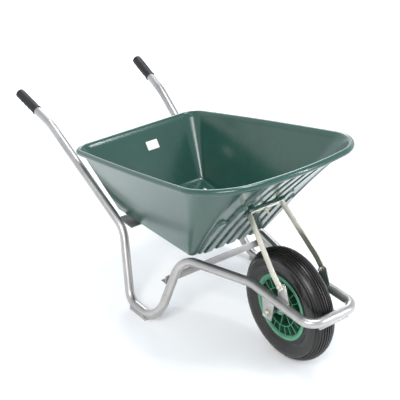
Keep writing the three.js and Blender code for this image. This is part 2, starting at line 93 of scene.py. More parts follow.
# Tray: floor and rim measured on the outside, rear to front.
FLOOR = {"rear": -209, "front": 195, "half_rear": 193, "half_front": 159, "z_rear": 280, "z_front": 265}
RIM = {"rear": -372, "front": 509, "half_rear": 266, "half_front": 322, "z_rear": 477, "z_front": 704}
RIM_BOW = 60
SIDE_BOW = 12
TRAY_WALL = 4.0
BEAD_R = 11.0
BEAD_INSET = 6.0
FLOOR_EDGE_R = 14.0
CORNER = {"front_u": 0.3, "front_v": 0.41, "rear_u": 0.125, "rear_v": 0.2}
FLOOR_CORNER_SHARE = {"front": 0.22, "rear": 0.5}
CORNER_GROWTH = 0.75
RIB_PITCH = 49.0
RIB_HALF = 15.5
RIB_PROUD = 10.0
RIB_EDGE = 3.0
RIB_HEAD = 9.0
RIB_FOOT = 5.0
CREASE_LIP = 3.0
CREASE_LIP_REACH = 42.0
FRONT_WALL = 440.0
RIB_SPANS = (
    ((0, 1, -1), 0.0, 0.49),
    ((0, 1, -1), 0.61, 0.985),
    ((2, -2), 0.0, 0.64),
    ((2, -2), 0.69, 0.985),
    ((3, -3), 0.06, 0.5),
)

# Stay.
STAY_TOP = np.array((394.0, 0, 505.0))
STAY_FOOT = np.array((584.0, 0, 332.0))
STAY_WIDTH = 28.0
STAY_THICK = 4.0
STAY_HALF_TOP = 69.0
STAY_HALF_FOOT = 92.0
STAY_EDGE_R = 0.9
STAY_BENDS = [60, 5.5, 5.5, 60]
PAD_HALF_HEIGHT = 18.0
PAD_DEPTH = 21.0

# Label: half its width, its lower and upper edge as shares of the wall's height, its corners and its lift.
LABEL_HALF = 25.0
LABEL_SPAN = (0.665, 0.80)
LABEL_CORNER_R = 3.0
LABEL_LIFTS = (0.5, 0.9)

# Fasteners.
BOLT_R = 4.0
HEAD_R = 7.5
HEAD_HEIGHT = 5.5
DOME_R = 8.0
DOME_HEIGHT = 3.4

# Wheel.
AXLE = node_centre("axle")
WHEEL_R = (node_box("tyre")[1] - node_box("tyre")[0])[0] / 2
TYRE_HALF = 46.5
TYRE_CENTRE_R = 158.0
BEAD_SEAT_R = 101.6
FLANGE_R = 118.6
FLANGE_Y = 36.0
HUB_R = 26.0
HUB_HALF = 45.0
WEB_FACE = 38.6
WEB_FOOT = 4.0
WEB_RING_R = 68.0
WEB_RING_HALF = 1.5
RADIAL_WEBS = 20
CURVED_WEBS = 8
WEB_CURL = 0.32
TREAD_GROOVES = [11.5 * k for k in range(-5, 6)]
GROOVE_HALF = 2.7
GROOVE_EASE = 0.7
GROOVE_DEPTH = 4.4
GROOVED_TO = math.radians(62)
TYRE_SHOULDER = math.radians(130)
TYRE_WALL = 7.0
SIDEWALL_RINGS = ((70, 1.6, 0.9), (84, 1.1, 0.6), (101, 5.0, 0.7), (117, 1.6, 0.9))

# Stage.
FLOOR_REACH = 40.0
CAMERA_PLACE = (2972.7, -2186.8, 2491.0)
CAMERA_TARGET = (63.5, -22.0, 387.4)
CAMERA_LENS = 107.45
SENSOR_WIDTH = 36
SKY_LOW = (1.0, 1.0, 1.0, 1)
SKY_HIGH = (0.5, 0.56, 0.64, 1)
SKY_STRENGTH = 1.15
LIGHTS = (
    ("key", (2.2, -3.2, 3.4), (0.1, 0, 0.3), (2.4, 1.6), 120, (1.0, 0.985, 0.96)),
    ("fill", (-3.4, 2.4, 2.6), (-0.1, 0, 0.4), (1.8, 2.6), 70, (0.93, 0.96, 1.0)),
    ("top", (0.2, 0.6, 4.2), (0.1, 0, 0), (2.6, 1.2), 90, (1, 1, 1)),
    ("strip", (2.6, 1.6, 1.5), (-0.3, 0.1, 0.45), (0.12, 1.8), 26, (0.9, 0.95, 1.0)),
)


# ---- shells: points in millimetres and faces ----

def rings_shell(rings, wrap=False):
    """Quads between rings of points, closed at both ends or from the last ring to the first."""
    rings = np.asarray(rings, float)
    count, around = rings.shape[:2]
    faces = []
    for i in range(count if wrap else count - 1):
        j = (i + 1) % count
        for k in range(around):
            m = (k + 1) % around
            faces.append((i * around + k, i * around + m, j * around + m, j * around + k))
    if not wrap:
        faces.append(tuple(reversed(range(around))))
        faces.append(tuple((count - 1) * around + k for k in range(around)))
    return rings.reshape(-1, 3), faces


def joined(*shells):
    """Several shells as one."""
    points, faces, offset = [], [], 0
    for shell_points, shell_faces in shells:
        points.append(shell_points)
        faces += [tuple(i + offset for i in face) for face in shell_faces]
        offset += len(shell_points)
    return np.concatenate(points), faces


def moved(shell, by):
    """A shell at another place."""
    return shell[0] + np.array(by), shell[1]


def unit(v):
    """A vector at length 1."""
    return v / np.linalg.norm(v)


def rounded_route(corners, radii, step):
    """The corners of a route, each inner one rounded to its radius. step is in degrees."""
    out = [corners[0]]
    for before, corner, after, radius in zip(corners, corners[1:], corners[2:], radii):
        back, on = unit(before - corner), unit(after - corner)
        half = math.acos(np.clip(back @ on, -1, 1)) / 2
        turn = math.pi - 2 * half
        centre = corner + unit(back + on) * radius / math.sin(half)
        start = corner + back * radius / math.tan(half) - centre
        end = corner + on * radius / math.tan(half) - centre
        steps = max(2, round(math.degrees(turn) / step))
        for k in range(steps + 1):
            a = math.sin(turn * (1 - k / steps)) / math.sin(turn)
            b = math.sin(turn * k / steps) / math.sin(turn)
            out.append(start * a + end * b + centre)
    out.append(corners[-1])
    return np.array(out)


def path_frames(path, up):
    """A side and an up vector at each point of a path, carried along it without twist."""
    tangents = np.gradient(path, axis=0)
    tangents /= np.linalg.norm(tangents, axis=1)[:, None]
    sides, ups = [], []
    for tangent in tangents:
        up = unit(up - tangent * (up @ tangent))
        sides.append(np.cross(tangent, up))
        ups.append(up)
    return np.array(sides), np.array(ups)


def sweep(path, section, up):
    """A section, as (side, up) points or one such array per path point, carried along a path."""
    path = np.asarray(path, float)
    sides, ups = path_frames(path, np.array(up, float))
    section = np.asarray(section, float)
    if section.ndim == 2:
        section = np.broadcast_to(section, (len(path), *section.shape))
    rings = path[:, None] + section[..., :1] * sides[:, None] + section[..., 1:] * ups[:, None]
    return rings_shell(rings)


def circle(radius, facets):
    """Points round a circle."""
    angle = np.arange(facets) / facets * 2 * math.pi
    return np.stack([np.cos(angle), np.sin(angle)], axis=1) * radius


def lathe(profile, segments, wrap=True):
    """A profile of (radius, distance along Y) turned about Y."""
    profile = np.asarray(profile, float)
    angle = np.arange(segments) / segments * 2 * math.pi
    radius = np.repeat(profile[:, :1], segments, axis=1)
    along = np.repeat(profile[:, 1:], segments, axis=1)
    rings = np.stack([radius * np.cos(angle), along, radius * np.sin(angle)], axis=-1)
    return rings_shell(rings, wrap=wrap)


# ---- pieces ----

def bevelled(bm, width, segments=2):
    """Rounds every edge that turns by more than BEVEL_ABOVE."""
    sharp = [e for e in bm.edges if len(e.link_faces) == 2 and e.calc_face_angle(0) > BEVEL_ABOVE]
    bmesh.ops.bevel(
        bm, geom=sharp, offset=width * MM, segments=segments, affect="EDGES", profile=0.5,
        clamp_overlap=True,
    )


def finish_mesh(bm, name, material, sharp):
    """A shaded mesh whose edges are sharp above an angle in degrees."""
    bmesh.ops.recalc_face_normals(bm, faces=bm.faces)
    for face in bm.faces:
        face.smooth = True
    for edge in bm.edges:
        edge.smooth = len(edge.link_faces) == 2 and edge.calc_face_angle(0) < math.radians(sharp)
    mesh = bpy.data.meshes.new(name)
    bm.to_mesh(mesh)
    bm.free()
    mesh.materials.append(material)
    return mesh


def piece(name, shell, material, body="frame", nodes=(), bevel=0.0, sharp=38, segments=2):
    """A named piece from a shell, which rides on a body and stands for CAD nodes."""
    bm = bmesh.new()
    verts = [bm.verts.new(Vector(point) * MM) for point in shell[0]]
    for face in shell[1]:
        bm.faces.new([verts[i] for i in face])
    if bevel:
        bevelled(bm, bevel, segments)
    place(finish_mesh(bm, name, material, sharp), name, body, nodes)


def place(mesh, name, body, nodes):
    """Puts a mesh in the scene, on a body and in place of CAD nodes."""
    made = bpy.data.objects.new(name, mesh)
    bpy.context.scene.collection.objects.link(made)
    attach(made, body)
    if nodes:
        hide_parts(*nodes)


def refined(node, material, bevel, body="frame"):
    """A CAD node's shape with its edges rounded, in place of the node."""
    bm = bmesh.new()
    bm.from_mesh(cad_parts[node].data)
    bmesh.ops.remove_doubles(bm, verts=bm.verts, dist=0.02 * MM)
    bmesh.ops.dissolve_limit(bm, angle_limit=math.radians(3), verts=bm.verts, edges=bm.edges)
    bevelled(bm, bevel)
    name = node + "_look"
    place(finish_mesh(bm, name, material, 38), name, body, [node])


# ---- materials ----

class Nodes:
    """Short calls for building one node material."""

    def __init__(self, name):
        self.material = bpy.data.materials.new(name)
        self.material.use_nodes = True
        self.tree = self.material.node_tree
        self.shader = self.tree.nodes["Principled BSDF"]
        self.place = self.tree.nodes.new("ShaderNodeTexCoord").outputs["Object"]

    def link(self, source, socket):
        self.tree.links.new(source, socket)

    def stretched(self, scale):
        mapping = self.tree.nodes.new("ShaderNodeMapping")
        mapping.inputs["Scale"].default_value = scale
        self.link(self.place, mapping.inputs["Vector"])
        return mapping.outputs["Vector"]

    def noise(self, scale, detail=4.0, rough=0.55, stretch=None, distortion=0.0):
        made = self.tree.nodes.new("ShaderNodeTexNoise")
        made.inputs["Scale"].default_value = scale
        made.inputs["Detail"].default_value = detail
        made.inputs["Roughness"].default_value = rough
        made.inputs["Distortion"].default_value = distortion
        self.link(self.stretched(stretch) if stretch else self.place, made.inputs["Vector"])
        return made.outputs["Fac"]

    def cells(self, scale, output="Color"):
        made = self.tree.nodes.new("ShaderNodeTexVoronoi")
        made.inputs["Scale"].default_value = scale
        self.link(self.place, made.inputs["Vector"])
        return made.outputs[output]

    def ramp(self, source, stops):
        made = self.tree.nodes.new("ShaderNodeValToRGB")
        elements = made.color_ramp.elements
        while len(elements) < len(stops):
            elements.new(0.5)
        for element, (at, value) in zip(elements, stops):
            element.position = at
            element.color = (*value, 1) if isinstance(value, tuple) else (value, value, value, 1)
        self.link(source, made.inputs["Fac"])
        return made.outputs["Color"]

    def mix(self, factor, first, second, kind="MIX"):
        made = self.tree.nodes.new("ShaderNodeMix")
        made.data_type = "RGBA"
        made.blend_type = kind
        for socket, value in ((0, factor), (6, first), (7, second)):
            if isinstance(value, bpy.types.NodeSocket):
                self.link(value, made.inputs[socket])
            elif isinstance(value, tuple):
                made.inputs[socket].default_value = (*value, 1)
            else:
                made.inputs[socket].default_value = value
        return made.outputs[2]

    def tinted(self, strength, mask, base, tint):
        """The base with a share of a tint over it where the mask is light."""
        return self.mix(self.mix(strength, (0.0, 0.0, 0.0), mask), base, tint)

    def off_middle(self):
        """Distance from the middle plane, in metres."""
        split = self.tree.nodes.new("ShaderNodeSeparateXYZ")
        self.link(self.place, split.inputs["Vector"])
        size = self.tree.nodes.new("ShaderNodeMath")
        size.operation = "ABSOLUTE"
        self.link(split.outputs["Y"], size.inputs[0])
        return size.outputs["Value"]

    def bump(self, height, strength, distance, after=None):
        made = self.tree.nodes.new("ShaderNodeBump")
        made.inputs["Strength"].default_value = strength
        made.inputs["Distance"].default_value = distance * MM
        self.link(height, made.inputs["Height"])
        if after is not None:
            self.link(after, made.inputs["Normal"])
        return made.outputs["Normal"]

    def output(self, colour, roughness, normal, metallic=0.0, coat=0.0, coat_roughness=0.1, specular=0.5):
        self.link(colour, self.shader.inputs["Base Color"])
        self.link(roughness, self.shader.inputs["Roughness"])
        self.link(normal, self.shader.inputs["Normal"])
        self.shader.inputs["Metallic"].default_value = metallic
        self.shader.inputs["Coat Weight"].default_value = coat
        self.shader.inputs["Coat Roughness"].default_value = coat_roughness
        self.shader.inputs["Specular IOR Level"].default_value = specular
        return self.material


def galvanised():
    """Hot-dip zinc: pale spangle, cloudy patches and darker stains."""
    n = Nodes("galvanised")
    clouds = n.ramp(n.noise(9, 5, 0.6), [(0.3, (0.375, 0.365, 0.355)), (0.7, (0.525, 0.51, 0.495))])
    spangle = n.ramp(n.cells(140), [(0.0, (0.9, 0.9, 0.91)), (1.0, (1.0, 1.0, 1.0))])
    base = n.mix(0.55, clouds, spangle, "MULTIPLY")
    stain = n.ramp(n.noise(38, 6, 0.7, distortion=0.6), [(0.56, 0.0), (0.74, 1.0)])
    colour = n.tinted(0.5, stain, base, (0.33, 0.325, 0.32))
    roughness = n.ramp(n.noise(55, 5, 0.65), [(0.25, 0.28), (0.75, 0.42)])
    fine = n.bump(n.noise(900, 2), 0.1, 0.06)
    normal = n.bump(n.noise(60, 4, 0.6), 0.03, 0.2, fine)
    return n.output(colour, roughness, normal, metallic=0.88)


def zinc():
    """Thin plated zinc with a warm tint and darker scuffs."""
    n = Nodes("zinc_plate")
    warm = n.ramp(n.noise(14, 4), [(0.3, (0.53, 0.51, 0.43)), (0.7, (0.65, 0.625, 0.54))])
    scuff = n.ramp(n.noise(120, 5, 0.7, distortion=1.2), [(0.58, 0.0), (0.72, 1.0)])
    colour = n.tinted(0.35, scuff, warm, (0.4, 0.39, 0.36))
    roughness = n.ramp(n.noise(70, 4), [(0.3, 0.27), (0.75, 0.37)])
    normal = n.bump(n.noise(500, 3), 0.05, 0.05)
    return n.output(colour, roughness, normal, metallic=0.8)


def steel():
    """Turned steel with rings about the axle."""
    n = Nodes("turned_steel")
    rings = n.noise(240, 2, 0.5, stretch=(0.05, 6.0, 0.05))
    colour = n.ramp(rings, [(0.3, (0.42, 0.43, 0.44)), (0.7, (0.6, 0.61, 0.62))])
    roughness = n.ramp(n.noise(160, 4), [(0.3, 0.24), (0.7, 0.4)])
    return n.output(colour, roughness, n.bump(rings, 0.25, 0.12), metallic=0.95)


def tray_plastic():
    """Glossy dark green moulding: flow clouds, fine scuffs, dust and a slight orange peel."""
    n = Nodes("tray_plastic")
    swirl = n.noise(3.2, 4, 0.6, distortion=0.5)
    flow = n.ramp(swirl, [(0.3, (0.0085, 0.054, 0.038)), (0.72, (0.0125, 0.07, 0.05))])
    dust = n.ramp(n.noise(26, 8, 0.75, stretch=(1.0, 1.0, 0.35)), [(0.5, 0.0), (0.82, 1.0)])
    colour = n.tinted(0.07, dust, flow, (0.1, 0.19, 0.165))
    scratch = n.noise(320, 6, 0.8, stretch=(1.0, 0.12, 0.5), distortion=0.8)
    roughness = n.ramp(n.mix(0.35, n.noise(34, 7, 0.7), scratch), [(0.3, 0.17), (0.75, 0.28)])
    peel = n.bump(n.noise(420, 2), 0.1, 0.12)
    normal = n.bump(n.noise(11, 2, 0.4), 0.03, 0.5, n.bump(scratch, 0.04, 0.08, peel))
    return n.output(colour, roughness, normal, coat=0.35, coat_roughness=0.12, specular=0.55)


def rim_plastic():
    """Satin mid-green moulding with worn, paler patches, and painted shade that darkens it towards the
    wheel's middle plane: nearly black deep in its recesses, full tone only on the raised faces of webs,
    flanges and hub.
    """
    n = Nodes("rim_plastic")
    tone = n.ramp(n.noise(30, 5, 0.6), [(0.3, (0.042, 0.225, 0.118)), (0.75, (0.078, 0.318, 0.182))])
    worn = n.ramp(n.noise(150, 6, 0.75), [(0.6, 0.0), (0.8, 1.0)])
    rubbed = n.tinted(0.3, worn, tone, (0.2, 0.42, 0.3))
    # Painted shade: the colour darkens with nearness to the middle plane, nearly black at the web, about a
    # third of full tone on the well, full tone from the raised faces out.
    depth = n.ramp(n.off_middle(), [(0.009, 0.0), (0.02, 0.26), (0.0364, 0.32), (0.038, 1.0)])
    colour = n.mix(depth, (0.003, 0.014, 0.009), rubbed)
    roughness = n.ramp(n.noise(90, 4), [(0.3, 0.33), (0.75, 0.5)])
    return n.output(colour, roughness, n.bump(n.noise(600, 3), 0.25, 0.15), coat=0.15, coat_roughness=0.2)


def rubber(name, dark, light, scale, rough, depth):
    """Black rubber with bloom, a little dust and a fine skin."""
    n = Nodes(name)
    bloom = n.ramp(n.noise(scale, 6, 0.65), [(0.35, dark), (0.75, light)])
    dust = n.ramp(n.noise(scale * 9, 6, 0.8), [(0.55, 0.0), (0.8, 1.0)])
    colour = n.tinted(0.14, dust, bloom, (0.11, 0.1, 0.092))
    roughness = n.ramp(n.noise(scale * 5, 5, 0.6), [(0.3, rough), (0.75, rough + 0.18)])
    skin = n.bump(n.cells(700, "Distance"), 0.2, depth)
    return n.output(colour, roughness, n.bump(n.noise(scale * 14, 4), 0.3, depth, skin))


def label_film():
    """Plain white film, faintly yellowed and soiled, with a slight paper tooth."""
    n = Nodes("label_film")
    paper = n.ramp(n.noise(120, 4), [(0.3, (0.78, 0.77, 0.74)), (0.7, (0.88, 0.87, 0.85))])
    soil = n.ramp(n.noise(330, 6, 0.8), [(0.58, 0.0), (0.82, 1.0)])
    colour = n.tinted(0.3, soil, paper, (0.56, 0.55, 0.52))
    roughness = n.ramp(n.noise(260, 3), [(0.3, 0.36), (0.7, 0.52)])
    return n.output(colour, roughness, n.bump(n.noise(900, 2), 0.2, 0.08))


def floor_paint():
    """Matt, nearly white studio floor."""
    n = Nodes("studio_floor")
    tone = n.ramp(n.noise(1.2, 2), [(0.3, (0.965, 0.965, 0.965)), (0.7, (0.985, 0.985, 0.985))])
    roughness = n.ramp(n.noise(4, 2), [(0.3, 0.85), (0.7, 0.95)])
    return n.output(tone, roughness, n.bump(n.noise(40, 2), 0.02, 1), specular=0.1)


GALVANISED = galvanised()
ZINC = zinc()
STEEL = steel()
TRAY = tray_plastic()
RIM_GREEN = rim_plastic()
TYRE = rubber("tyre_rubber", (0.007, 0.0065, 0.0066), (0.02, 0.0172, 0.0158), 9, 0.24, 0.1)
BUTYL = rubber("butyl_rubber", (0.011, 0.011, 0.011), (0.024, 0.023, 0.023), 30, 0.4, 0.12)
GRIP = rubber("grip_rubber", (0.004, 0.0038, 0.004), (0.009, 0.0085, 0.0088), 40, 0.42, 0.3)
LABEL = label_film()


# ---- frame ----

def full_route(step):
    """The tube's centre line from one handle's end to the other's."""
    start = ROUTE[0] + unit(ROUTE[1] - ROUTE[0]) * GRIP_END
    side = np.array([start, *ROUTE[1:]])
    corners = np.concatenate([side, side[::-1] * MIRROR])
    return rounded_route(corners, BEND_RADII + BEND_RADII[::-1], step)


def weld(points, radius):
    """A weld bead along a line: a rounded string of overlapping scales."""
    points = np.asarray(points, float)
    steps = np.linalg.norm(np.diff(points, axis=0), axis=1)
    length = np.concatenate([[0], np.cumsum(steps)])
    at = np.linspace(0, length[-1], max(8, round(length[-1] / 0.9)))
    path = np.stack([np.interp(at, length, points[:, i]) for i in range(3)], axis=1)
    taper = np.clip(np.minimum(at, length[-1] - at) / radius, 0.15, 1) ** 0.5
    swell = radius * taper * (1 + 0.16 * np.abs(np.sin(math.pi * at / WELD_RIPPLE)))
    return sweep(path, circle(1, 10)[None] * swell[:, None, None], up=(0.31, 0.22, 0.92))


def tube_point(x):
    """The centre line of the fork tube on the left at a place along X."""
    low, high = ROUTE[6], ROUTE[7]
    return low + (high - low) * (x - low[0]) / (high[0] - low[0])


def riser_point(z):
    """The centre line of the left riser at a height."""
    low, high = ROUTE[4], ROUTE[5]
    return low + (high - low) * (z - low[2]) / (high[2] - low[2])


def frame_welds(side):
    """Beads where the left or right brackets, shoe, strut and plate meet the tube."""
    flip = np.array((1, side, 1))
    beads = []

    def on_fork(x_low, x_high, y, top):
        line = []
        for x in np.linspace(x_low, x_high, 7):
            centre = tube_point(x)
            rise = math.sqrt(TUBE_R ** 2 - (y - centre[1]) ** 2)
            line.append((x, y, centre[2] + (rise if top else -rise)))
        beads.append(weld(np.array(line) * flip, 1.9))

    low, high = node_box("axle_bracket_left")
    for y in (low[1] - 0.6, high[1] + 0.6):
        on_fork(low[0] + 1, high[0] - 1, y, False)
    low, high = node_box("stay_tab_left")
    for y in (low[1] - 0.6, high[1] + 0.6):
        on_fork(low[0] + 2, high[0] - 3, y, True)
    low, high = node_box("leg_shoe_left")
    for y in (low[1] + 0.4, high[1] - 0.4):
        beads.append(weld(np.array([(low[0] + 14, y, 12.4), (high[0] - 14, y, 12.4)]) * flip, 1.8))
    strut_low, strut_high = node_box("leg_strut")
    for offset in (-6.5, 6.5):
        line = [riser_point(z) + (-TUBE_R + 1.2, offset, 0) for z in (strut_low[2] + 1, strut_high[2] - 1)]
        beads.append(weld(np.array(line) * flip, 2.0))
    low, high = node_box("rear_cross_plate")
    line = [(x, high[1] - 0.5, (low[2] + high[2]) / 2 + 1.4) for x in (low[0] + 42, high[0] - 4)]
    beads.append(weld(np.array(line) * flip, 1.8))
    return beads


def bar_welds():
    """Stitches between the tipping bar and the front crossing of the tube."""
    bar = node_box("tipping_bar")
    z = (bar[1][2] + ROUTE[7][2] - TUBE_R) / 2
    beads = []
    for y in (-44, 0, 44):
        for x in (-3.4, 3.4):
            beads.append(weld([(ROUTE[7][0] + x, y - 10, z), (ROUTE[7][0] + x, y + 10, z)], 1.6))
    return beads


def build_frame():
    """Tube, tipping bar, plates, brackets and their welds."""
    tube = sweep(full_route(3.0), circle(TUBE_R, TUBE_FACETS), up=(0, 1, 0.2))
    piece("frame_tube_look", tube, GALVANISED, nodes=["frame_tube"], sharp=50)

    low, high = node_box("tipping_bar")
    radius, reach, ease = (high[2] - low[2]) / 2, high[1], 1.2
    profile = [(radius - ease, -reach), (radius - ease * 0.3, -reach + ease * 0.3), (radius, -reach + ease)]
    profile += [(r, -y) for r, y in reversed(profile)]
    bar = moved(lathe(profile, 32, wrap=False), node_centre("tipping_bar"))
    piece("tipping_bar_look", bar, GALVANISED, nodes=["tipping_bar"])

    for node in ("rear_cross_plate", "leg_strut"):
        refined(node, GALVANISED, 0.7)
    for name, side in SIDES:
        for node in ("leg_shoe_", "axle_bracket_", "stay_tab_"):
            refined(node + name, GALVANISED, 0.6)
        piece("frame_welds_" + name, joined(*frame_welds(side)), GALVANISED)
    piece("bar_welds", joined(*bar_welds()), GALVANISED)


# ---- grips ----

def grip_shell(side):
    """A moulded grip with four finger waves below, fine rings, a domed end and a collar at its mouth."""
    start = ROUTE[0] * (1, side, 1)
    axis = unit(ROUTE[1] * (1, side, 1) - start)
    at = np.concatenate([
        GRIP_DOME * (1 - np.cos(np.linspace(0, math.pi / 2, 8))),
        np.arange(7.2, GRIP_LENGTH - 6, 0.8),
        np.linspace(GRIP_LENGTH - 5.5, GRIP_LENGTH, 7),
    ])
    angle = np.arange(GRIP_FACETS) / GRIP_FACETS * 2 * math.pi
    dome = np.sqrt(np.clip(1 - (1 - np.clip(at / GRIP_DOME, 0, 1)) ** 2, 0, 1))
    radius = (GRIP_R - GRIP_DOME) + GRIP_DOME * dome
    from_collar = (at - GRIP_LENGTH + COLLAR["from_mouth"]) / COLLAR["half"]
    collar = COLLAR["proud"] * np.exp(-from_collar ** 4)
    middle = np.clip((at - 12) / 8, 0, 1) * np.clip((GRIP_LENGTH - 14 - at) / 8, 0, 1)
    rings = GRIP_RING["depth"] * middle * np.cos(2 * math.pi * at / GRIP_RING["pitch"])
    below = np.clip(-np.sin(angle), 0, 1) ** 1.5
    turn = 2 * math.pi * (at - FINGER_WAVE["first"]) / FINGER_WAVE["pitch"]
    waves = FINGER_WAVE["depth"] * middle * (np.cos(turn) * 0.5 - 0.2)
    full = (radius + collar)[:, None] + rings[:, None] + waves[:, None] * below[None]
    section = np.stack([np.cos(angle)[None] * full, np.sin(angle)[None] * full], axis=-1)
    path = start[None] + at[:, None] * axis[None]
    return sweep(path, section, up=(0, 0, 1))


def build_grips():
    """A grip on each handle."""
    for name, side in SIDES:
        grip = "grip_" + name
        piece(grip + "_look", grip_shell(side), GRIP, nodes=[grip], sharp=70)


# ---- tray ----

def mix(a, b, t):
    """From a at 0 to b at 1."""
    return a + (b - a) * t


def tray_point(u, v, t, inset):
    """A point of the tray: u runs rear to front, v right to left, t floor to rim, inset inwards."""
    at = {key: mix(FLOOR[key], RIM[key], t) for key in FLOOR}
    rear, front = at["rear"] + inset, at["front"] - inset
    along = (u + 1) / 2
    half = mix(at["half_rear"], at["half_front"], along) - inset
    bow = np.where(u > 0, RIM_BOW * t ** 3 * u * u * (1 - v * v), 0)
    x = mix(rear, front, along) + bow
    y = v * half + SIDE_BOW * t * np.sign(v) * v * v * (1 - u * u)
    z = mix(at["z_rear"], at["z_front"], (x - at["rear"]) / (at["front"] - at["rear"]))
    return np.stack(np.broadcast_arrays(x, y, z), axis=-1)


def corner_share(t, end):
    """How much of its size at the rim a plan corner of the front or rear end has at a height."""
    return mix(FLOOR_CORNER_SHARE[end], 1, np.clip(t, 0, 1) ** CORNER_GROWTH)


def tightened(value, span, share):
    """A plan coordinate with its corner shrunk to a share of its span and its straight edge stretched."""
    size = np.abs(value)
    moved_in = np.where(size > 1 - span, 1 - share * (1 - size), size * (1 - share * span) / (1 - span))
    return np.sign(value) * moved_in


def wall_point(u, v, t, inset, scale=1.0):
    """A point of the wall, whose plan corners open out towards the rim. scale draws it inwards."""
    span_u = np.where(u > 0, CORNER["front_u"], CORNER["rear_u"])
    span_v = np.where(u > 0, CORNER["front_v"], CORNER["rear_v"])
    share = np.where(u > 0, corner_share(t, "front"), corner_share(t, "rear"))
    return tray_point(scale * tightened(u, span_u, share), scale * tightened(v, span_v, share), t, inset)


def plan_outline():
    """The outline in u and v: a square with quarter-ellipse corners, finest at the ribbed front."""
    fu, fv, ru, rv = (CORNER[key] for key in ("front_u", "front_v", "rear_u", "rear_v"))
    parts = []

    def line(a, b, steps):
        parts.append(np.linspace(a, b, steps, endpoint=False))

    def corner(centre, span, quarter, steps):
        angle = np.linspace(quarter, quarter + 1, steps, endpoint=False) * math.pi / 2
        arc = np.stack([span[0] * np.cos(angle), span[1] * np.sin(angle)], axis=1)
        parts.append(np.array(centre) + arc)

    line((-1 + ru, -1), (1 - fu, -1), 36)
    corner((1 - fu, -1 + fv), (fu, fv), -1, 64)
    line((1, -1 + fv), (1, 1 - fv), 150)
    corner((1 - fu, 1 - fv), (fu, fv), 0, 64)
    line((1 - fu, 1), (-1 + ru, 1), 36)
    corner((-1 + ru, 1 - rv), (ru, rv), 1, 20)
    line((-1, 1 - rv), (-1, -1 + rv), 24)
    corner((-1 + ru, -1 + rv), (ru, rv), 2, 20)
    return np.concatenate(parts)


def smooth(x):
    """A soft step from 0 to 1."""
    x = np.clip(x, 0, 1)
    return x * x * (3 - 2 * x)


def rib_height(y, t, u):
    """How far the front wall's ribs, and the lip outside its crease, stand out."""
    half_width = mix(FLOOR["half_front"], RIM["half_front"], t)
    crease = half_width * (1 - CORNER["front_v"] * corner_share(t, "front"))
    past = np.abs(y) - crease
    total = np.zeros_like(y)
    for numbers, low, high in RIB_SPANS:
        for k in numbers:
            off = np.abs(y - k * RIB_PITCH)
            head = np.clip((high - t) * FRONT_WALL / RIB_HEAD, 0, 1)
            foot = smooth((t - low) * FRONT_WALL / RIB_FOOT)
            half = RIB_HALF * np.sqrt(1 - (1 - head) ** 2)
            inside = smooth((half - off) / RIB_EDGE + 0.5) * foot * smooth(head * 3)
            total = np.maximum(total, RIB_PROUD * inside * smooth(-past / 4))
    lip = CREASE_LIP * smooth(past / 3) * (1 - smooth((past - 3) / CREASE_LIP_REACH)) * smooth(t / 0.1)
    return np.maximum(total, lip) * smooth((u - 0.55) / 0.2)


def wall_stack(outline, wall, rows, ribbed):
    """Rings up one side of the wall, from the floor's middle to the top."""
    u, v = outline[:, 0], outline[:, 1]
    height = (RIM["z_rear"] + RIM["z_front"] - FLOOR["z_rear"] - FLOOR["z_front"]) / 2
    radius = FLOOR_EDGE_R - wall
    rings = []
    for share in (0.02, 0.2, 0.4, 0.6, 0.8, 0.94):
        rings.append(wall_point(u, v, wall / height, wall + radius, share))
    for turn in np.linspace(0, math.pi / 2, 9):
        t = (wall + radius * (1 - math.cos(turn))) / height
        rings.append(wall_point(u, v, t, wall + BEAD_INSET * t + radius * (1 - math.sin(turn))))
    edge = FLOOR_EDGE_R / height
    for t in edge + (1 - edge) * np.arange(1, rows + 1) / rows:
        rings.append(wall_point(u, v, t, wall + BEAD_INSET * t))
    rings = np.array(rings)
    if ribbed:
        climb = edge + (1 - edge) * np.arange(1, rows + 1) / rows
        levels = np.concatenate([np.full(6, -1.0), np.linspace(-0.02, 0.012, 9), climb])
        around = np.roll(rings, -1, axis=1) - np.roll(rings, 1, axis=1)
        up = np.gradient(rings, axis=0)
        normal = np.cross(around, up)
        normal /= np.maximum(np.linalg.norm(normal, axis=-1, keepdims=True), 1e-9)
        shape = rings.shape[:2]
        heights = np.broadcast_to(levels[:, None], shape)
        rise = rib_height(rings[..., 1], heights, np.broadcast_to(u, shape))
        rings = rings + normal * rise[..., None]
    return rings


def bead_rings(outline):
    """The rolled edge: an arc from the outer wall, round the outside and over, to the inner wall."""
    u, v = outline[:, 0], outline[:, 1]
    centre = tray_point(u, v, 1.0, 0.0)
    around = np.roll(centre, -1, axis=0) - np.roll(centre, 1, axis=0)
    outward = np.stack([around[:, 1], -around[:, 0], np.zeros(len(u))], axis=1)
    outward /= np.linalg.norm(outward, axis=1)[:, None]
    start = -math.pi + math.acos(BEAD_INSET / BEAD_R)
    end = math.pi - math.acos((BEAD_INSET + TRAY_WALL) / BEAD_R)
    rings = []
    for angle in np.linspace(start, end, 22):
        lift = np.array((0, 0, BEAD_R * math.sin(angle)))
        rings.append(centre + outward * BEAD_R * math.cos(angle) + lift)
    return np.array(rings)


def stay_axes():
    """Down the stay, across the flat bar, in the part's frame."""
    down = unit(STAY_FOOT - STAY_TOP)
    return down, np.array((-down[2], 0, down[0]))


def in_stay(points):
    """Points given as (down the stay, left, across the bar) in the part's frame."""
    down, across = stay_axes()
    points = np.asarray(points, float)
    return STAY_TOP + points[..., :1] * down + points[..., 1:2] * (0, 1, 0) + points[..., 2:] * across


def box_shell(low, high, convert):
    """A box whose corners are converted from its own axes."""
    outline = np.array([(low[1], low[2]), (high[1], low[2]), (high[1], high[2]), (low[1], high[2])])
    rings = [convert(np.column_stack([np.full(4, x), outline])) for x in (low[0], high[0])]
    return rings_shell(rings)


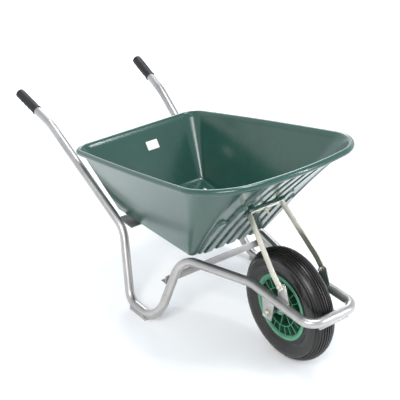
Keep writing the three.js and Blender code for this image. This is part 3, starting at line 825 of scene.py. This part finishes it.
def build_tray():
    """The tub as one skin, outside, over the rolled edge and inside, and the pad for the stay."""
    outline = plan_outline()
    outer = wall_stack(outline, 0.0, 130, True)
    inner = wall_stack(outline, TRAY_WALL, 40, False)
    rings = np.concatenate([outer[:-1], bead_rings(outline), inner[::-1][1:]])
    piece("tray_look", rings_shell(rings), TRAY, nodes=["tray"], sharp=60)

    face = -STAY_THICK / 2 - 0.3
    reach = STAY_HALF_TOP + 7
    pad = box_shell((-PAD_DEPTH, -reach, -STAY_WIDTH / 2), (face, reach, PAD_HALF_HEIGHT), in_stay)
    piece("tray_pad", pad, TRAY, bevel=2.4, segments=4)


def wall_inside(t):
    """The middle of the rear wall's inside at a height."""
    return tray_point(np.float64(-1.0), np.float64(0.0), t, TRAY_WALL + BEAD_INSET * t)


def build_label():
    """A blank film that follows the wall, with rounded corners."""
    low, high = (wall_inside(t) for t in LABEL_SPAN)
    radius = LABEL_CORNER_R
    y, s = LABEL_HALF - radius, np.linalg.norm(high - low) / 2 - radius
    centre_y = node_centre("label")[1]
    outline = []
    for side, rise, quarter in ((1, 1, 0), (-1, 1, 1), (-1, -1, 2), (1, -1, 3)):
        for angle in np.linspace(quarter, quarter + 1, 6) * math.pi / 2:
            across = centre_y + side * y + radius * math.cos(angle)
            outline.append((across, rise * s + radius * math.sin(angle)))
    along = unit(high - low)
    out = np.array((along[2], 0, -along[0]))
    middle = (high + low) / 2
    rings = []
    for lift in LABEL_LIFTS:
        rings.append([middle + (0, across, 0) + along * up + out * lift for across, up in outline])
    piece("label_look", rings_shell(rings), LABEL, nodes=["label"])


# ---- stay and fasteners ----

def build_stay():
    """One flat bar bent twice, with rounded edges."""
    length = np.linalg.norm(STAY_FOOT - STAY_TOP)
    straight, end = length - 45, length + 14
    half = np.array([(end, STAY_HALF_FOOT, 0), (straight, STAY_HALF_FOOT, 0), (0, STAY_HALF_TOP, 0)])
    corners = in_stay(np.concatenate([half, half[::-1] * MIRROR]))
    path = rounded_route(corners, STAY_BENDS, 9)
    thick, wide = STAY_THICK / 2 - STAY_EDGE_R, STAY_WIDTH / 2 - STAY_EDGE_R
    section = []
    for side, up, quarter in ((1, 1, 0), (-1, 1, 1), (-1, -1, 2), (1, -1, 3)):
        for angle in np.linspace(quarter, quarter + 1, 4) * math.pi / 2:
            edge = (STAY_EDGE_R * math.cos(angle), STAY_EDGE_R * math.sin(angle))
            section.append((side * thick + edge[0], up * wide + edge[1]))
    shell = sweep(path, np.array(section), up=tuple(stay_axes()[1]))
    piece("tray_stay_look", shell, ZINC, nodes=["tray_stay"], sharp=50)


def hexagon(radius, low, high, bore=0.0):
    """A chamfered hexagon along Y, with a bore or a thread end showing."""
    angle = np.arange(48) / 48 * 2 * math.pi
    flat = radius * math.cos(math.pi / 6)
    hexed = flat / np.cos((angle + math.pi / 6) % (math.pi / 3) - math.pi / 6)
    cap = np.minimum(hexed, flat * 0.98)
    step = (high - low) * 0.13
    levels = [(cap, low), (np.minimum(hexed, flat * 1.07), low + step * 0.6), (hexed, low + step)]
    levels += [(hexed, high - step), (np.minimum(hexed, flat * 1.07), high - step * 0.6), (cap, high)]
    if bore:
        levels += [(np.full(48, bore), high), (np.full(48, bore), low)]
    rings = [np.stack([r * np.cos(angle), np.full(48, y), r * np.sin(angle)], axis=1) for r, y in levels]
    return rings_shell(rings, wrap=bool(bore))


def threaded(radius, low, high, pitch=1.25, depth=0.35):
    """A threaded shank along Y with a chamfered far end."""
    profile = [(radius * 0.7, low)]
    for k in range(int((high - low - 1.5) / (pitch / 2))):
        profile.append((radius - depth * (k % 2), low + 0.4 + k * pitch / 2))
    profile += [(radius, high - 1.0), (radius * 0.72, high)]
    return lathe(profile, 28, wrap=False)


def disc(outer, inner, low, high, edge=0.35):
    """A washer along Y with eased rims."""
    profile = [(inner, low), (outer - edge, low), (outer, low + edge), (outer, high - edge),
               (outer - edge, high), (inner, high)]
    return lathe(profile, 56)


def dome(radius, low, height):
    """A round bolt head along Y, seated at low."""
    arc = np.linspace(0, math.pi / 2, 9)[:-1]
    profile = [(radius, low), (radius, low + 0.5)]
    profile += [(radius * math.cos(a), low + 0.5 + (height - 0.5) * math.sin(a)) for a in arc]
    return lathe(profile, 40, wrap=False)


def turned(shell, y_to, at):
    """A shell made along Y turned so that Y lies along another direction, and moved."""
    y_to = unit(np.asarray(y_to, float))
    helper = np.array((0, 0, 1.0)) if abs(y_to[2]) < 0.9 else np.array((1.0, 0, 0))
    x_to = unit(np.cross(y_to, helper))
    z_to = np.cross(x_to, y_to)
    points = shell[0]
    return points[:, :1] * x_to + points[:, 1:2] * y_to + points[:, 2:] * z_to + np.array(at), shell[1]


def zinc_piece(node, shell):
    """A plated piece in place of one CAD node."""
    piece(node + "_look", shell, ZINC, nodes=[node])


def build_fasteners():
    """The pad bolt, the stay bolts and the floor bolts, with their washers and nuts."""
    down, _ = stay_axes()
    head = turned(dome(DOME_R, 0, DOME_HEIGHT), (0, -1, 0), (0, -25, 0))
    shapes = {
        "pad_bolt": joined(threaded(BOLT_R, -6, 30), head),
        "pad_washer": disc(9, 4.5, 2.4, 4.0),
        "pad_nut": hexagon(HEAD_R, 4.4, 10.8, 4.3),
    }
    for node, shell in shapes.items():
        zinc_piece(node, turned(shell, down, STAY_TOP))

    for name, side in SIDES:
        along = (0, side, 0)
        bolt_low, bolt_high = node_box("stay_bolt_" + name)
        nut_low, nut_high = node_box("stay_nut_" + name)
        at = node_centre("stay_bolt_" + name) * (1, 0, 1)
        near, far = sorted((abs(bolt_low[1]), abs(bolt_high[1])))
        bolt = joined(threaded(BOLT_R, near, far - 5.3), hexagon(HEAD_R, far - HEAD_HEIGHT, far))
        zinc_piece("stay_bolt_" + name, turned(bolt, along, at))
        near, far = sorted((abs(nut_low[1]), abs(nut_high[1])))
        zinc_piece("stay_nut_" + name, turned(hexagon(HEAD_R, near, far, 4.3), along, at))

        up = (0, 0, 1)
        low, high = node_box("floor_bolt_" + name)
        at = node_centre("floor_bolt_" + name) * (1, 1, 0)
        shank = turned(threaded(3.6, -high[2] + 3, -low[2]), (0, -1, 0), (0, 0, 0))
        bolt = joined(dome(DOME_R, high[2] - DOME_HEIGHT, DOME_HEIGHT), shank)
        zinc_piece("floor_bolt_" + name, turned(bolt, up, at))
        low, high = node_box("floor_washer_" + name)
        zinc_piece("floor_washer_" + name, turned(disc(9, 4.2, low[2], high[2]), up, at))
        low, high = node_box("floor_nut_" + name)
        zinc_piece("floor_nut_" + name, turned(hexagon(7, low[2], high[2], 4.2), up, at))


# ---- axle ----

def build_axle():
    """The rod with its threaded ends, spacers, washers and nuts."""
    reach = node_box("axle")[1][1]
    half = threaded(6, 92, reach, pitch=1.75, depth=0.45)
    rod = lathe([(6, -93), (6, 93)], 40, wrap=False)
    shell = joined(rod, turned(half, (0, 1, 0), (0, 0, 0)), turned(half, (0, -1, 0), (0, 0, 0)))
    piece("axle_look", moved(shell, AXLE), STEEL, nodes=["axle"])
    for name, side in SIDES:
        along = (0, side, 0)
        spans = {}
        for node in ("axle_spacer_", "axle_washer_", "axle_nut_"):
            low, high = node_box(node + name)
            spans[node] = sorted((abs(low[1]), abs(high[1])))
        near, far = spans["axle_spacer_"]
        outline = [(6.6, near), (9.4, near), (10, near + 0.8), (10, far - 0.8), (9.4, far), (6.6, far)]
        shapes = {
            "axle_spacer_": (lathe(outline, 48), STEEL, "steel"),
            "axle_washer_": (disc(13, 6.5, *spans["axle_washer_"], 0.5), ZINC, "zinc"),
            "axle_nut_": (hexagon(11, *spans["axle_nut_"], 6.4), ZINC, "zinc"),
        }
        for node, (shell, material, slot) in shapes.items():
            piece(node + name + "_look", turned(shell, along, AXLE), material, nodes=[node + name])


# ---- wheel ----

def tyre_profile():
    """Outer skin from bead to bead with grooves and sidewall rings, then the inner skin."""
    flank = np.linspace(GROOVED_TO, TYRE_SHOULDER, 30)[1:]
    angles = np.concatenate([-flank[::-1], np.linspace(-GROOVED_TO, GROOVED_TO, 271), flank])
    outer = []
    for angle in angles:
        r = TYRE_CENTRE_R + (WHEEL_R - TYRE_CENTRE_R) * math.cos(angle)
        y = TYRE_HALF * math.sin(angle)
        nearest = min(abs(math.degrees(angle) - groove) for groove in TREAD_GROOVES)
        cut = float(smooth((GROOVE_HALF - nearest) / GROOVE_EASE + 0.5))
        side = abs(math.degrees(angle))
        lift = 0.0
        for at, width, height in SIDEWALL_RINGS:
            lift += height * math.exp(-((side - at) / width) ** 4)
        radial = -GROOVE_DEPTH * cut
        outer.append((r + (radial + lift) * math.cos(angle), y + (radial + lift) * math.sin(angle)))
    seat = BEAD_SEAT_R + 0.6
    bead = [(119, 35), (108, 34.6), (103, 33.4), (seat, 31), (seat, 24), (113, 26)]
    inner = []
    for angle in np.linspace(TYRE_SHOULDER, -TYRE_SHOULDER, 40):
        r = TYRE_CENTRE_R + (WHEEL_R - TYRE_CENTRE_R - TYRE_WALL) * math.cos(angle)
        inner.append((r, (TYRE_HALF - TYRE_WALL) * math.sin(angle)))
    mirrored_bead = [(r, -y) for r, y in reversed(bead)]
    return outer + bead + inner + mirrored_bead


def rim_half(side):
    """Webs on one face of the rim: a ring, radial ones outside it and curved ones inside it."""
    low, high = WEB_RING_R - WEB_RING_HALF, WEB_RING_R + WEB_RING_HALF
    profile = [(low, WEB_FOOT), (low, WEB_FACE - 1), (WEB_RING_R - 0.6, WEB_FACE),
               (WEB_RING_R + 0.6, WEB_FACE), (high, WEB_FACE - 1), (high, WEB_FOOT)]
    shells = [lathe(profile, 96)]
    outer = [(WEB_RING_R + 0.5, WEB_FOOT), (84, WEB_FOOT), (94, WEB_FOOT), (96, 20.5), (100.6, 20.5)]
    for k in range(RADIAL_WEBS):
        shells.append(web(k / RADIAL_WEBS * 2 * math.pi, outer, WEB_FACE - 0.4, 1.1, 0.0))
    inner = [(r, WEB_FOOT) for r in np.linspace(HUB_R - 1.0, WEB_RING_R - 0.5, 12)]
    for k in range(CURVED_WEBS):
        shells.append(web((k + 0.5) / CURVED_WEBS * 2 * math.pi, inner, WEB_FACE - 0.6, 1.3, WEB_CURL))
    return [turned(shell, (0, side, 0), (0, 0, 0)) for shell in shells]


def web(angle, feet, height, half, curl):
    """A thin rib with an eased top, from one radius to the next, each with the level of its foot there."""
    first, last = feet[0][0], feet[-1][0]
    rings = []
    for r, foot in feet:
        section = [(-half, foot), (-half, height - 0.7), (-half + 0.6, height), (half - 0.6, height),
                   (half, height - 0.7), (half, foot)]
        turn = angle + curl * math.sin((r - first) / (last - first) * math.pi / 2)
        out = np.array((math.cos(turn), 0, math.sin(turn)))
        side = np.array((-math.sin(turn), 0, math.cos(turn)))
        rings.append([out * r + side * s + np.array((0, y, 0)) for s, y in section])
    return rings_shell(rings)


def rim_body():
    """The turned part of the rim: hub, web, well and flanges."""
    half = [
        (12, 32.7), (16.3, 32.7), (16.3, HUB_HALF - 0.8), (17, HUB_HALF), (HUB_R - 1.2, HUB_HALF),
        (HUB_R, HUB_HALF - 1.2), (HUB_R + 1.2, 8), (HUB_R + 4, 5), (88, 5), (92, 7),
        (93.2, 18), (94.2, 21.4), (96.5, 22.2), (100.4, 22.8), (100.8, 34.8), (102.4, 36.3), (106.8, 36.9),
        (108.2, FLANGE_Y + 2.6), (113.5, FLANGE_Y + 3), (FLANGE_R - 1, FLANGE_Y + 2.4),
        (FLANGE_R, FLANGE_Y + 1.2), (FLANGE_R - 0.8, FLANGE_Y),
        (BEAD_SEAT_R, FLANGE_Y - 0.2), (BEAD_SEAT_R, 20), (96.5, 14),
    ]
    return lathe(half + [(r, -y) for r, y in reversed(half)], 128)


def bearing_shell(low, high, side):
    """Outer race, dished seal and inner race."""
    depth = high - low
    seal = depth - 0.8
    profile = [(6.5, 0), (6.5, depth), (8.6, depth), (9.0, seal), (12.6, seal), (13.0, depth),
               (15.6, depth), (16.0, depth - 0.4), (16.0, 0.4), (15.6, 0)]
    return turned(lathe(profile, 56), (0, side, 0), AXLE + (0, side * low, 0))


def build_wheel():
    """Tyre, rim, bearings and valve on the turning body, and butyl on the inner tube."""
    tyre = moved(lathe(tyre_profile(), 180), AXLE)
    piece("tyre_look", tyre, TYRE, "wheel", ["tyre"], sharp=30)
    rim = joined(rim_body(), *rim_half(1), *rim_half(-1))
    piece("wheel_rim_look", moved(rim, AXLE), RIM_GREEN, "wheel", ["wheel_rim"], sharp=32)
    for name, side in SIDES:
        node = "wheel_bearing_" + name
        low, high = node_box(node)
        near, far = sorted((abs(low[1]), abs(high[1])))
        piece(node + "_look", bearing_shell(near, far, side), STEEL, "wheel", [node])
    for node, bevel in (("valve_stem", 0.5), ("valve_cap", 0.7)):
        refined(node, BUTYL, bevel, "wheel")
    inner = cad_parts["inner_tube"]
    inner.data.materials.clear()
    inner.data.materials.append(BUTYL)


# ---- stage ----

def area_light(name, at, target, size, power, colour):
    """A rectangular light at a place, facing a target, in metres and watts."""
    data = bpy.data.lights.new(name, "AREA")
    data.shape = "RECTANGLE"
    data.size, data.size_y = size
    data.energy = power
    data.color = colour
    made = bpy.data.objects.new(name, data)
    made.location = at
    made.rotation_euler = (Vector(target) - Vector(at)).to_track_quat("-Z", "Y").to_euler()
    bpy.context.scene.collection.objects.link(made)


def build_floor():
    """The plain floor."""
    mesh = bpy.data.meshes.new("studio_floor")
    corners = [(x * FLOOR_REACH, y * FLOOR_REACH, 0) for x, y in ((-1, -1), (1, -1), (1, 1), (-1, 1))]
    mesh.from_pydata(corners, [], [(0, 1, 2, 3)])
    mesh.materials.append(floor_paint())
    floor = bpy.data.objects.new("studio_floor", mesh)
    bpy.context.scene.collection.objects.link(floor)


def build_sky():
    """Even light from all round, white below and bluish above."""
    world = bpy.data.worlds.new("studio")
    bpy.context.scene.world = world
    world.use_nodes = True
    tree = world.node_tree
    coordinates = tree.nodes.new("ShaderNodeTexCoord")
    split = tree.nodes.new("ShaderNodeSeparateXYZ")
    ramp = tree.nodes.new("ShaderNodeValToRGB")
    for element, at, colour in zip(ramp.color_ramp.elements, (0.05, 0.8), (SKY_LOW, SKY_HIGH)):
        element.position = at
        element.color = colour
    tree.links.new(coordinates.outputs["Generated"], split.inputs[0])
    tree.links.new(split.outputs["Z"], ramp.inputs["Fac"])
    tree.links.new(ramp.outputs["Color"], tree.nodes["Background"].inputs["Color"])
    tree.nodes["Background"].inputs["Strength"].default_value = SKY_STRENGTH


def build_camera():
    """The photograph's view."""
    data = bpy.data.cameras.new("camera")
    data.lens = CAMERA_LENS
    data.sensor_width = SENSOR_WIDTH
    camera = bpy.data.objects.new("camera", data)
    stand = Vector(CAMERA_PLACE) * MM
    target = Vector(CAMERA_TARGET) * MM
    camera.location = stand
    camera.rotation_euler = (target - stand).to_track_quat("-Z", "Y").to_euler()
    bpy.context.scene.collection.objects.link(camera)
    bpy.context.scene.camera = camera
    bpy.context.scene.view_settings.view_transform = "Standard"


build_frame()
build_grips()
build_tray()
build_label()
build_stay()
build_fasteners()
build_axle()
build_wheel()
build_floor()
build_sky()
for light in LIGHTS:
    area_light(*light)
build_camera()
